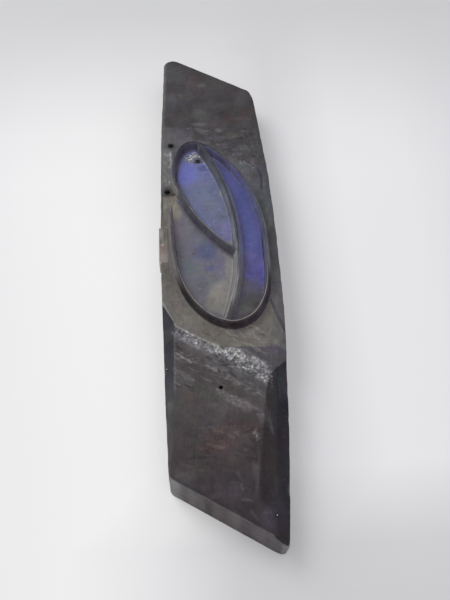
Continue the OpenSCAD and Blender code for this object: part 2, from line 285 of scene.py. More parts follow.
def mask(ob, name, values):
    attr = ob.data.attributes.new(name, "FLOAT", "POINT")
    attr.data.foreach_set("value", np.clip(values, 0, 1).astype(np.float32))


def limits(node):
    """Lowest and highest corner of a CAD node, in millimetres."""
    return np.array(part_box(node)) / MM


def swept(name, line, profile, height, shift):
    """A closed solid swept along a line; profile rows are (left, z), height and shift vary along it."""
    way = ways(line)
    left = np.stack([-way[:, 1], way[:, 0]], 1)
    n, m = len(line), len(profile)
    profile = np.asarray(profile, float)
    verts = np.zeros((n, m, 3))
    for j, (off, z) in enumerate(profile):
        verts[:, j, :2] = line + left * (off + shift)[:, None]
        verts[:, j, 2] = z
    up = (profile[:, 1] - profile[:, 1].min()) / np.ptp(profile[:, 1])
    verts[:, :, 2] += height[:, None] * up
    faces = [list(range(m)), [(n - 1) * m + j for j in range(m - 1, -1, -1)]]
    for i in range(n - 1):
        for j in range(m):
            k = (j + 1) % m
            faces.append([i * m + j, (i + 1) * m + j, (i + 1) * m + k, i * m + k])
    return object_of(name, verts.reshape(-1, 3), faces)


# material helpers

def linear(c):
    """Linear light of a colour as it looks, both 0 to 1."""
    return np.where(c <= 0.04045, c / 12.92, ((c + 0.055) / 1.055) ** 2.4)


def srgb(*colour):
    return (*linear(np.array(colour) / 255).tolist(), 1)


class Nodes:
    """A material's nodes, made by short calls."""

    def __init__(self, name):
        self.mat = bpy.data.materials.new(name)
        self.mat.use_nodes = True
        self.tree = self.mat.node_tree
        self.tree.nodes.clear()
        self.out = self.tree.nodes.new("ShaderNodeOutputMaterial")
        self.shader = self.tree.nodes.new("ShaderNodeBsdfPrincipled")
        self.link(self.shader.outputs[0], self.out.inputs[0])
        self.coord = self.add("TexCoord", "Object")

    def link(self, a, b):
        self.tree.links.new(a, b)

    def put(self, socket, value):
        if isinstance(value, bpy.types.NodeSocket):
            self.link(value, socket)
        else:
            socket.default_value = value

    def set(self, name, value):
        self.put(self.shader.inputs[name], value)

    def add(self, kind, out, **inputs):
        """One output of a new node, its inputs set or linked."""
        node = self.tree.nodes.new("ShaderNode" + kind)
        for name, value in inputs.items():
            self.put(node.inputs[name], value)
        return node.outputs[out]

    def mapped(self, scale):
        return self.add("Mapping", 0, Vector=self.coord, Scale=scale)

    def streaks(self, turn, stretch):
        """Coordinates in which every pattern is drawn out along the direction turn (degrees from X)."""
        out = self.add("Mapping", 0, Vector=self.coord, Rotation=(0, 0, math.radians(turn)), Scale=(stretch, 1, 1))
        out.node.vector_type = "TEXTURE"
        return out

    def noise(self, vector, scale, detail, rough=0.55, distortion=0.0):
        return self.add("TexNoise", "Fac", Vector=vector, Scale=scale, Detail=detail, Roughness=rough,
                        Distortion=distortion)

    def attribute(self, name, out="Fac"):
        node = self.tree.nodes.new("ShaderNodeAttribute")
        node.attribute_name = name
        return node.outputs[out]

    def math(self, kind, a, b, clamp):
        node = self.tree.nodes.new("ShaderNodeMath")
        node.operation = kind
        node.use_clamp = clamp
        self.put(node.inputs[0], a)
        self.put(node.inputs[1], b)
        return node.outputs[0]

    def times(self, a, b, clamp=False):
        return self.math("MULTIPLY", a, b, clamp)

    def plus(self, a, b):
        return self.math("ADD", a, b, False)

    def minus(self, a, b):
        return self.math("SUBTRACT", a, b, False)

    def mix(self, fac, a, b, kind="MIX"):
        node = self.tree.nodes.new("ShaderNodeMix")
        node.data_type = "RGBA"
        node.blend_type = kind
        for i, value in ((0, fac), (6, a), (7, b)):
            self.put(node.inputs[i], value)
        return node.outputs[2]

    def bump(self, height, strength, distance):
        self.set("Normal", self.add("Bump", 0, Height=height, Strength=strength, Distance=distance))

    def toned(self, *parts):
        """The painted colour times one plus each pattern (around its middle) times its share."""
        tone = 1.0
        for pattern, share in parts:
            tone = self.plus(self.times(self.minus(pattern, 0.5), share), tone)
        grey = self.add("CombineColor", 0, Red=tone, Green=tone, Blue=tone)
        return self.mix(1.0, self.attribute("paint", "Color"), grey, "MULTIPLY")


def one_grain(name, scale, detail, share, rough, metal=0.0, stretch=1.0, bump=0.3, depth=0.0002):
    """A material with one fine pattern in its colour and height, drawn out along Y where stretch is below 1."""
    m = Nodes(name)
    grain = m.noise(m.mapped((1, stretch, 1)), scale, detail)
    m.set("Base Color", m.toned((grain, share)))
    m.set("Metallic", metal)
    m.set("Roughness", rough)
    m.bump(grain, bump, depth)
    return m.mat


# Paint: colours by place

class Paint:
    """Colours laid over the points of a piece, blot by blot and line by line."""

    def __init__(self, p, seed, base):
        self.p = p
        self.rgb = np.ones((len(p), 3)) * np.asarray(base, float)
        self.rough = layers(p, (6, 6, 6), seed, 4)
        self.shade = np.ones(len(p))
        self.seed = seed

    def box(self, points, margin, among=None):
        """The numbers of the points near a line, among all or among some."""
        points = np.asarray(points, float)
        low, high = points.min(0) - margin, points.max(0) + margin
        x, y = (self.p if among is None else self.p[among])[:, :2].T
        i = np.nonzero((x > low[0]) & (x < high[0]) & (y > low[1]) & (y < high[1]))[0]
        return i if among is None else among[i]

    def lay(self, amount, colour, strength=1.0, i=slice(None)):
        a = (np.clip(amount, 0, 1) * strength)[:, None]
        self.rgb[i] = self.rgb[i] * (1 - a) + np.asarray(colour, float) * a

    def coats(self, base, strength, rows):
        """Lays rows of (amount, colour), each amount times base; a row may end with a strength of its own."""
        for amount, colour, *own in rows:
            self.lay(base * amount, colour, *(own or [strength]))

    def blot(self, x, y, rx, ry, colour, strength=0.7, turn=0.0, ragged=0.45, where=None):
        i = self.box([(x, y)], max(rx, ry) * 1.7)
        a = blot(self.p[i], x, y, rx, ry, turn, ragged * self.rough[i])
        self.lay(a if where is None else a * where[i], colour, strength, i)

    def blots(self, rows, where=None):
        for row in rows:
            self.blot(*row, where=where)

    def line(self, points, width, colour, strength, ragged=0.3, where=None):
        i = self.box(points, width * 2)
        if len(i):
            d, _ = along(self.p[i], points)
            a = 1 - ramp(d / width + ragged * self.rough[i], 0.35, 1.1)
            self.lay(a if where is None else a * where[i], colour, strength, i)

    def scratches(self, area, count, lengths, turn, spread, change, width, seed, where=None):
        """Short fine lines in an area (x0, y0, x1, y1), lighter or darker than what lies under them."""
        rng = np.random.default_rng(seed)
        here = self.box([area[:2], area[2:]], 3)
        for _ in range(count):
            x, y = rng.uniform(area[0], area[2]), rng.uniform(area[1], area[3])
            t, half = math.radians(turn + rng.normal(0, spread)), rng.uniform(*lengths) / 2
            dx, dy = half * math.cos(t), half * math.sin(t)
            bend = rng.normal(0, 0.15) * half
            pts = [(x - dx, y - dy), (x + bend, y + bend), (x + dx, y + dy)]
            i = self.box(pts, 3, here)
            if not len(i):
                continue
            d, _ = along(self.p[i], pts)
            a = np.exp(-(d / (width * rng.uniform(0.7, 1.4))) ** 2) * (1 if where is None else where[i])
            self.rgb[i] += (rng.uniform(0.3, 1.0) * change * a)[:, None]

    def mottle(self, light, hue, size=(10, 13, 10)):
        """Clouds of lighter and darker, warmer and cooler colour."""
        size = np.asarray(size, float)
        tone = layers(self.p, size, self.seed + 101, 4) * light
        warm = layers(self.p, size * 1.3, self.seed + 151, 3) * hue
        cool = layers(self.p, size * 0.9, self.seed + 181, 3) * hue
        self.rgb += tone[:, None] + np.stack([warm, -0.35 * (warm + cool), cool], 1)

    def store(self, ob, lift=0.012, gain=0.9):
        """Writes the colours to the mesh, less the gloss (lift) and the level of the light (gain, shade)."""
        lin = linear(np.clip(self.rgb, 6, 250) / 255)
        lin = np.clip((lin - lift) * gain / self.shade[:, None], 0.003, 1)
        attr = ob.data.attributes.new("paint", "FLOAT_COLOR", "POINT")
        attr.data.foreach_set("color", np.concatenate([lin, np.ones((len(lin), 1))], 1).astype(np.float32).ravel())


KEY = np.array([-0.49, 0.41, 0.77])  # toward the lamp


def lit(n):
    """Roughly how much light of sky and lamp reaches a surface, next to one that lies flat."""
    sky = 0.45 + 0.55 * np.clip(n[:, 2], 0, 1)
    return np.clip(0.62 * sky + 0.38 * np.clip(n @ KEY, 0, 1) / KEY[2], 0.36, 1)


def blot(p, x, y, rx, ry, turn=0.0, ragged=0.0):
    """1 in the middle of an oval place, 0 outside it."""
    t = math.radians(turn)
    dx, dy = p[:, 0] - x, p[:, 1] - y
    u, v = dx * math.cos(t) + dy * math.sin(t), -dx * math.sin(t) + dy * math.cos(t)
    return 1 - ramp(np.hypot(u / rx, v / ry) + ragged, 0.4, 1.15)


# The wood

def plank_side(side, y):
    """Where the bowed left or right side of the plank runs, along x."""
    bow = 5.5 if side < 0 else 14.6
    return side * (49.1 - bow * (y / 260.6) ** 2)


def lower_edge(x):
    """Where the field ends below, along y."""
    straight = -96.6 - x * math.tan(SLANT)
    return np.where(x > -5.5, np.maximum(-93.4 - (x + 5.5) * math.tan(math.radians(4.1)), straight), straight)


def chamfer_reach(y):
    """How far the left chamfer reaches in from the side."""
    return np.interp(-y, [52, 70, 92, 136, 176, 198, 212], [0.4, 9.3, 8.6, 7.0, 3.6, 1.3, 0.4])


def facet_reach(y):
    """How far the facet reaches in from the right chamfer."""
    return np.interp(-y, [102, 116, 131, 147, 164, 202, 222], [0.2, 4.3, 7.6, 8.5, 10.8, 13.6, 12])


def slant_places(p):
    """Places counted along and across the slant of the bevels."""
    x, y, z = p.T
    return np.stack([x * math.cos(SLANT) - y * math.sin(SLANT), x * math.sin(SLANT) + y * math.cos(SLANT), z], 1)


# Furrows: points, half width, depth
FURROWS = [
    ([(21.8, 105.9), (28.1, 105.5), (39, 93.8), (41.9, 83.8), (41.5, 68.2)], 0.9, 0.7),
    ([(36.6, -49.3), (39.8, -55.4), (40.7, -64.1), (43.8, -73.8), (46.2, -81.4)], 0.9, 0.7),
    ([(-38, -94), (-32, -99), (-26, -105)], 0.7, 0.5),
    ([(-16, -107), (-8, -114)], 0.7, 0.4),
    ([(0, -118), (10, -127), (27, -134)], 0.7, 0.4),
    ([(-20, 157), (-4, 154), (8, 149)], 0.9, 0.35),
    ([(-24, 147), (-8, 143)], 0.9, 0.3),
    ([(-12, -139), (-3, -143), (6, -146)], 0.8, 0.3),
    ([(-14, -174), (-6, -172)], 0.9, 0.35),
    ([(18, -176), (17, -196), (14, -212)], 1.0, 0.3),
]
# Dents: x, y, radius across, radius along, depth
DENTS = [
    (-18, -212, 4, 2.2, 0.8), (18, -168, 2.6, 3.2, 0.4), (-12, 143, 7, 2.5, 0.35), (20, 139, 6, 3, 0.35),
    (-22, 196, 8, 5, 0.3), (30, 100, 5, 3, 0.4), (-30, 176, 5, 8, 0.3), (6, -150, 10, 4, 0.3),
    (-25, -190, 8, 6, 0.3), (10, -225, 6, 4, 0.3), (37, 60, 4, 10, 0.35),
]
# Knocked corners: x, y, z, radius, depth
KNOCKS = [(36, -248, 26, 4, 1.6), (-45, -199, 29, 5, 1.0), (33, -247, 30, 3, 1.4), (-46, 253, 30, 3, 0.8),
          (40, 196, 30, 4, 0.8)]
# Pale places: x, y, radius across, radius along, strength
PALE_PLACES = [
    (29, 101, 8, 4, 0.45), (34, 94, 5, 5, 0.4), (18, -166, 2.4, 4, 0.3), (-39, 96, 1.2, 20, 0.3),
    (32, -115, 2.4, 4, 0.8), (24, 112, 8, 3, 0.35), (-12, 145, 9, 3, 0.35), (5, 148, 4, 3, 0.4),
    (42, 74, 3, 3, 0.4), (22, -155, 4, 9, 0.25),
]
# Peg holes: x, y, radius of the dark rim
PEG_HOLES = [(-38.7, 124.7, 5.4), (-41.6, 69.1, 7.4)]
# Blots, here and below: x, y, radius across, radius along, colour, strength (0.7 if left out), turn.
# First those of the upper grip, then beside the figure, on the field below it, the lower grip and the end face.
UPPER_GRIP = [
    (17, 163, 9, 10, (76, 60, 62), 0.8), (33, 168, 8, 10, (76, 62, 64)), (-2, 186, 16, 14, (62, 59, 62), 0.6),
    (4, 174, 14, 8, (61, 58, 60), 0.6), (-22, 196, 9, 8, (84, 85, 82), 0.6), (-8, 211, 5, 3.5, (92, 90, 88)),
    (-17, 218, 9, 10, (78, 68, 71), 0.6), (-12, 171, 9, 8, (86, 84, 84), 0.6),
    (-28, 141, 15, 11, (88, 86, 98)), (-11, 156, 10, 3, (104, 102, 104), 0.6),
    (-10, 146, 7, 4, (98, 97, 102)), (5.5, 148, 4, 3, (106, 104, 104)),
    (18.5, 139.5, 8, 5.5, (88, 89, 84), 0.6), (6, 226, 9, 6, (78, 76, 70), 0.5),
    (2, 136, 14, 4, (88, 86, 94), 0.6), (28, 190, 8, 10, (70, 68, 72), 0.6),
    (-36, 190, 5, 18, (80, 79, 84), 0.5), (-30, 230, 8, 10, (80, 80, 80), 0.5),
    (25, 122, 12, 6, (84, 83, 90), 0.6), (8, 124, 8, 5, (94, 92, 99), 0.6), (-15, 128, 16, 3, (92, 90, 96)),
]
FIGURE_SIDE = [
    (27, 99, 8, 4.5, (98, 100, 103)), (38, 74, 8, 9, (90, 88, 101)), (24, 94, 7, 5, (88, 97, 99)),
    (43, 90, 5, 10, (78, 72, 84)), (36, 104, 6, 5, (92, 88, 98), 0.6), (20, 112, 8, 3, (98, 97, 103), 0.6),
    (44, 60, 6, 18, (80, 84, 89), 0.8), (40, 40, 6, 16, (78, 83, 87)), (42, 73, 4, 2, (110, 110, 116), 0.6),
    (45, 5, 4, 30, (76, 76, 80)), (44, -40, 4, 16, (86, 84, 92), 0.6), (46, 30, 3, 6, (96, 92, 98), 0.5),
]
LOWER_FIELD = [
    (-40, -30, 6, 18, (103, 100, 97)), (-36, -52, 6, 9, (118, 108, 108), 0.8),
    (-26, -66, 9, 8, (115, 111, 103)), (-14, -80, 14, 5, (110, 104, 101), 0.6),
    (12, -84, 16, 6, (112, 110, 105), 0.6), (36, -84, 8, 8, (104, 100, 103), 0.6),
    (24, -79, 3, 1.2, (136, 134, 130), 0.6), (30, -66, 8, 8, (106, 103, 98), 0.6),
    (38, -98, 8, 6, (92, 84, 99), 0.85), (45, -95, 3, 4, (122, 123, 124), 0.6),
    (-8, -88, 3, 1.5, (92, 88, 88), 0.5), (-46, -20, 3, 16, (96, 97, 92), 0.6),
]
LOWER_GRIP = [
    (-24, -124, 16, 6, (72, 69, 71), 0.7, -30), (-6, -132, 11, 3.5, (92, 86, 90), 0.6, -25),
    (8, -141, 14, 5, (98, 91, 96), 0.8, -33), (23, -152, 4, 8, (98, 96, 99)),
    (-12, -141, 6, 2.5, (92, 90, 93), 0.6), (-31, -135, 7, 5, (84, 78, 74)),
    (-17, -133, 8, 4, (78, 80, 76), 0.6), (-30, -152, 8, 5, (82, 76, 76), 0.6),
    (-6, -168, 15, 10, (82, 66, 67), 0.75), (10, -162, 14, 10, (80, 67, 69)),
    (-14, -176, 12, 5, (88, 64, 64), 0.6), (-30, -175, 9, 10, (78, 74, 78), 0.5),
    (-25, -194, 10, 5, (74, 72, 70), 0.6), (18, -167, 2.4, 3.6, (98, 96, 97), 0.5, -35),
    (16, -198, 2.6, 13, (80, 77, 81), 0.7, 4), (-5, -212, 10, 6, (68, 62, 68), 0.5),
    (2, -208, 6, 5, (76, 71, 76), 0.5), (9.5, -226, 5, 2.4, (60, 55, 60), 0.5, -20),
    (21, -232, 7, 12, (72, 66, 77)), (-36, -200, 5, 8, (76, 76, 78), 0.5),
    (-22, -178, 6, 4, (80, 66, 66), 0.5), (0, -190, 12, 6, (70, 62, 64), 0.6),
]
END_FACE = [
    (-18, -214, 5, 6, (78, 70, 72), 0.8), (6, -232, 8, 3, (86, 82, 85), 0.6),
    (-30, -207, 4, 5, (106, 105, 100)), (-8, -222, 5, 4, (92, 85, 87)), (14, -238, 6, 4, (104, 101, 105)),
    (24, -245, 5, 5, (100, 97, 102)), (-24, -212, 3, 4, (96, 92, 90), 0.6),
    (0, -228, 3, 5, (110, 104, 104), 0.6),
]
# Scratches: area, count, lengths, turn, spread, change, width, seed, and how closely they keep to the pale places
# (wear, and painted glints on the bevel)
SCRATCHES = [
    ((-42, 120, 40, 250), 34, (3, 12), 0, 25, 9, 0.8, 5, 0),
    ((-42, 120, 40, 250), 24, (3, 10), 20, 40, -10, 0.9, 6, 0),
    ((-38, -235, 26, -118), 46, (3, 12), -20, 20, 9, 0.8, 7, 0),
    ((-38, -235, 26, -118), 30, (3, 10), -10, 40, -12, 0.9, 8, 0),
    ((-24, -182, 12, -158), 26, (2, 7), -12, 14, 17, 0.6, 12, 0),
    ((-48, -95, 48, -40), 24, (2, 8), 0, 60, 7, 0.8, 9, 0),
    ((-40, -126, 30, -78), 90, (3, 16), -33, 6, 24, 0.55, 10, 0),
    ((-42, -142, 34, -76), 2600, (0.3, 1.8), -33, 45, 84, 0.38, 15, 1),
    ((-42, -142, 34, -76), 900, (0.3, 1.8), -33, 45, -40, 0.4, 22, 1),
    ((-20, -158, 28, -126), 260, (0.4, 2.4), -33, 35, 70, 0.42, 18, 1),
    ((16.5, -172, 20.5, -163), 11, (0.4, 2), 70, 50, 55, 0.42, 19, 0),
    ((-24, 110, 42, 152), 110, (0.8, 4), 10, 50, 19, 0.6, 20, 0),
    ((-24, 110, 42, 152), 110, (0.8, 4), 10, 50, -20, 0.6, 21, 0),
    ((14, 84, 46, 112), 90, (0.5, 2.5), -33, 60, 60, 0.5, 16, 2),
    ((-45, 76, -37, 118), 34, (0.5, 3), 85, 30, 36, 0.5, 17, 0),
    ((-40, -126, 30, -78), 60, (2, 10), -33, 8, -22, 0.6, 14, 0),
    ((20, 20, 48, 130), 26, (2, 7), 70, 40, 14, 0.7, 11, 0),
]


def carve_wood(p, n):
    """Moves the plank's points by wear; returns them, how strongly pale flecks show, and the broken place."""
    x, y, z = p.T
    up = ramp(n[:, 2], 0.5, 0.9)
    streak = slant_places(p)
    below = lower_edge(x) - y
    slant = y + x * math.tan(SLANT)
    bevel = ramp(below, -0.3, 1.2) * (1 - ramp(-104.0 - slant, -4, 12)) * up
    grain = layers(p, (1.6, 34, 1.6), 5)
    lumps = layers(p, (26, 60, 26), 9)
    move = 0.08 * grain * up + 0.3 * lumps + 0.2 * layers(p, (6, 9, 6), 12) - 0.1
    move -= 0.5 * bevel * ramp(layers(streak, (12, 1.8, 9), 4), -0.1, 0.4)
    for line, width, depth in FURROWS:
        move -= depth * np.exp(-(along(p, line)[0] / width) ** 2) * up
    for dx, dy, rx, ry, depth in DENTS:
        move -= depth * np.exp(-((x - dx) / rx) ** 2 - ((y - dy) / ry) ** 2) * up
    # the broken place at the upper left of the field
    broken = (ramp(x, -31, -35) * ramp(y + 1.6 * noise(p, (2.2, 40, 40), 77), 65.5, 64.6)
              * ramp(y, 34, 44) * ramp(x - plank_side(LEFT, y), 1.2, 2.2))
    move -= 0.9 * broken * up
    # knocks along the edges of the plank, but not on the slip of wood
    rng = np.random.default_rng(4)
    for _ in range(90):
        ky, side = rng.uniform(-240, 240), rng.choice((LEFT, RIGHT))
        if side < 0 and abs(ky - 8) < 26:
            continue
        if ky < -90:
            kz = rng.choice((GRIP, FIELD, 24, 4) if side < 0 else (22.5, 22.5, 12, 4))
        else:
            kz = GRIP if ky > 120 else FIELD
        kx, r = plank_side(side, ky), rng.uniform(0.9, 2.4)
        i = np.nonzero((np.abs(x - kx) < 5) & (np.abs(y - ky) < 12) & (np.abs(z - kz) < 6))[0]
        d = np.sqrt((x[i] - kx) ** 2 + ((y[i] - ky) / rng.uniform(1, 3)) ** 2 + (z[i] - kz) ** 2)
        move[i] -= 0.34 * r * np.exp(-(d / r) ** 2)
    for kx, ky, kz, r, depth in KNOCKS:
        d = np.sqrt((x - kx) ** 2 + (y - ky) ** 2 + (z - kz) ** 2)
        move -= depth * np.exp(-(d / r) ** 2)
    move *= ramp(z, 0.2, 2)
    # three pale bands along the bevel, worn and with painted sheen, and single places
    grain_of = layers(streak, (20, 4, 9), 8)
    band = ramp(below, -0.2, 1.5) * ramp(slant, -110, -103) * ramp(slant, -86, -92) * up
    pale = band * (0.74 + 0.2 * ramp(x, -14, 6)) * (0.8 + 0.4 * grain_of) * ramp(x, 38, 31)
    second = 0.36 * ramp(slant, -124, -120) * ramp(slant, -112, -117) * ramp(x, 31, 27) * ramp(grain_of, -0.3, 0.3)
    third = 0.3 * ramp(slant, -141, -138) * ramp(slant, -130, -133) * ramp(x, 27, 24) * ramp(x, -16, -4)
    pale = np.maximum(pale, np.maximum(second, third) * up)
    for *place, strength in PALE_PLACES:
        pale = np.maximum(pale, strength * blot(p, *place))
    moved = p + n * move[:, None]
    # the lost lower corner at the right of the end face
    d = np.sqrt((x - 35) ** 2 + (y + 252) ** 2 + (z / 1.6) ** 2)
    moved += (4.0 * np.exp(-(d / 6.5) ** 2))[:, None] * np.array([-0.62, 0.78, 0.0])
    # the back stays one plane
    moved[:, 2] = np.where(moved[:, 2] < 0.3, 0, moved[:, 2])
    return moved, pale, broken


def paint_wood(p, n, broken, pale):
    """The plank's colours, from the faces of the field and the grips to the ends and sides."""
    x, y, z = p.T
    c = Paint(p, 21, (82, 78, 80))
    slant = y + x * math.tan(SLANT)
    below = lower_edge(x) - y
    up = ramp(n[:, 2], 0.35, 0.8)
    # from the dark upper grip over the beige field to the brown lower grip
    c.lay(ramp(slant, 118, 128), (70, 67, 70))
    c.coats(ramp(below, 0.3, -0.3) * (1 - ramp(slant, 108, 128)), 1, [
        (1, (94, 92, 96)),
        (ramp(y, 70, 30) * ramp(x, 40, 30), (106, 102, 99)),
        (ramp(y, -30, -70), (111, 107, 103)),
        (ramp(x, 26, 38) * ramp(y, -50, 10), (77, 77, 83), 0.9),
        (ramp(x, 38, 44) * ramp(y, -40, -56), (92, 89, 92), 0.8)])
    c.lay(ramp(below, -0.3, 0.6), (90, 87, 92))
    c.coats(ramp(slant, -106, -118) * ramp(below, 0, 2), 1, [
        (1, (79, 74, 76)),
        (ramp(y, -140, -175), (69, 61, 64)),
        (ramp(y, -185, -225), (60, 54, 59))])
    c.lay(broken * up, (128, 122, 112), 0.9)
    c.blots(UPPER_GRIP)
    c.lay(ramp(x - plank_side(LEFT, y), 4, 1.5) * ramp(y, 116, 140), (97, 98, 96), 0.8)
    c.blots(FIGURE_SIDE)
    # the left edge with its pale facet, worn and with painted light, a dark line of painted shade along the figure's
    # left side, and painted shade round the holes
    c.line([(-43.4, 117), (-43.6, 95), (-42.8, 78)], 4.8, (111, 111, 110), 0.9)
    c.line([(-39.4, 116), (-38.8, 100), (-38.4, 82)], 1.3, (158, 158, 158), 0.75)
    c.line([(-36.6, 116), (-35.6, 96), (-35.4, 78)], 1.6, (84, 84, 84), 0.7)
    c.blot(-42, 54, 7, 10, (120, 116, 108))
    c.blot(-45, 36, 4, 14, (110, 106, 100), 0.8)
    c.line([(-48.2, 62), (-48.4, 40), (-48.8, 28)], 1.5, (82, 78, 76), 0.6)
    c.line([(-47, 64.5), (-40, 65.2), (-33, 64.6)], 1.2, (70, 66, 64), 0.7, ragged=0.5)
    for hx, hy, r in PEG_HOLES:
        c.blot(hx, hy - 1, r, r * 0.85, (68, 64, 65), 0.8)
    c.blots(LOWER_FIELD)
    c.line([(35.6, -49.3), (38.6, -55.4), (39.5, -64.1), (42.6, -73.8), (45, -81.4)], 1.4, (116, 115, 116), 0.7)
    c.line([(38.2, -52), (41.4, -64.1), (44.8, -73.8), (47.2, -81.4)], 1.4, (66, 62, 68), 0.7)
    # painted shade on the step along the furrow at the upper right
    c.line([(22.5, 104.6), (28.1, 104), (38, 93), (40.6, 83.8), (40.5, 68.2)], 1.4, (64, 61, 70), 0.8)
    # the bevel under the field: light arris, pale wear with painted sheen, dark ends
    c.blot(0, -97, 10, 4, (124, 123, 124), 0.6, ragged=0.6)
    c.line([(4, -97), (14, -104), (26, -110)], 3.4, (136, 135, 136), 0.6, ragged=0.7)
    c.line([(18, -114), (27, -121)], 3.4, (126, 125, 127), 0.55, ragged=0.6)
    c.line([(-30, -84), (-14, -94), (-4, -98)], 3.4, (118, 117, 119), 0.55, ragged=0.6)
    c.line([(-8, -104), (12, -114), (26, -124)], 2.4, (84, 86, 86), 0.5, ragged=0.6)
    c.line([(-48.4, -50), (-44, -60), (-39.6, -70.4), (-38, -73), (-20, -85), (-5.5, -93.2)], 1.0,
           (146, 143, 141), 0.9, ragged=0.15)
    c.line([(-39, -94.5), (-34, -98.5), (-27, -104)], 1.0, (142, 140, 140), 0.8)
    c.line([(-16, -107), (-8, -112.5)], 1.3, (130, 128, 130), 0.6, ragged=0.6)
    c.line([(0, -117), (14, -127), (27, -134)], 1.2, (106, 103, 106), 0.6, ragged=0.6)
    c.line([(22, -133), (29, -138)], 1.2, (112, 110, 112), 0.6, ragged=0.6)
    c.blots(LOWER_GRIP, where=ramp(slant, -110, -118))
    c.line([(-17, -173), (-6, -176)], 1.6, (94, 88, 88), 0.6, ragged=0.6)
    c.line([(-2, -203), (3, -203.5)], 0.9, (92, 88, 92), 0.6, ragged=0.7)
    c.line([(5, -205), (5.6, -209)], 1.0, (94, 90, 94), 0.6, ragged=0.7)
    c.line([(5, -216), (11, -217)], 0.9, (92, 88, 94), 0.6, ragged=0.7)
    c.line([(11, -225), (15, -231)], 0.9, (84, 80, 88), 0.6, ragged=0.7)
    paint_chamfers(c, p)
    paint_ridges(c, p, n)
    paint_back(c, p, n)
    paint_sides(c, p, n)
    # the arris of the lower end, pale, with a dark line behind it
    cut_off = y + 227 + x * math.tan(math.radians(32.7))
    arris = ramp(np.abs(cut_off), 1.2, 0.4) * ramp(z, 28.4, 29.6)
    c.lay(arris, (118, 116, 118), 0.8)
    c.lay(ramp(cut_off, 4.5, 2.2) * up * (1 - arris), (55, 50, 53), 0.6)
    c.mottle(14, 3)
    top = up * (1 - ramp(z, 35.5, 36.5))
    for *scratch, kept in SCRATCHES:
        c.scratches(*scratch, top * np.clip(kept * pale, 0, 1) if kept else top)
    return c


def paint_chamfers(c, p):
    """The dark chamfers of the lower grip, and the facet beside the right one; the right chamfer, turned from the
    lamp, is darkened further with painted shade.
    """
    x, y, z = p.T
    edge = chamfer_reach(y)
    left = ramp(x - plank_side(LEFT, y), edge + 0.5, edge - 0.5) * ramp(y, -50, -56) * ramp(z, 20, 23)
    c.coats(left, 1, [(1, (56, 56, 62)), (ramp(y, -112, -130), (70, 69, 70))])
    c.blot(-44, -140, 3, 8, (88, 90, 88), 0.8, where=left)
    inner_y = np.linspace(-56, -180, 30)[6:18]
    inner = np.stack([plank_side(LEFT, inner_y) + chamfer_reach(inner_y) + 0.3, inner_y], 1)
    c.line(inner, 1.1, (96, 95, 97), 0.6, ragged=0.5)
    c.line([(-48.6, -100), (-48.2, -112)], 1.2, (120, 122, 122), 0.5)
    in_edge = plank_side(RIGHT, y) - 9.3
    start = ramp(-104 - 1.083 * (46 - x) - y, -0.6, 0.6)
    dark = ramp(x - in_edge, -0.6, 0.6) * start * ramp(z, 20.5, 23)
    facet = ramp(facet_reach(y) - (in_edge - x), -0.6, 0.6 + 2.4 * ramp(y, -150, -190))
    facet *= ramp(y, -103, -112) * ramp(y, -226, -216) * start
    c.lay(facet, (55, 51, 55), 0.95)
    c.blot(27, -150, 5, 8, (74, 72, 75), where=facet)
    c.line([(29, -155), (31, -166)], 1.4, (82, 82, 85), 0.6, where=facet)
    c.lay(facet * ramp(y, -170, -190), (49, 44, 48), 0.8)
    # painted shade: the right chamfer painted darker than its stain, as it is turned from the lamp
    c.lay(dark, (45, 42, 50))
    c.blot(38, -120, 5, 10, (44, 50, 56), 0.6, where=dark)
    c.blot(31, -228, 5, 14, (58, 50, 62), 0.6, where=dark)


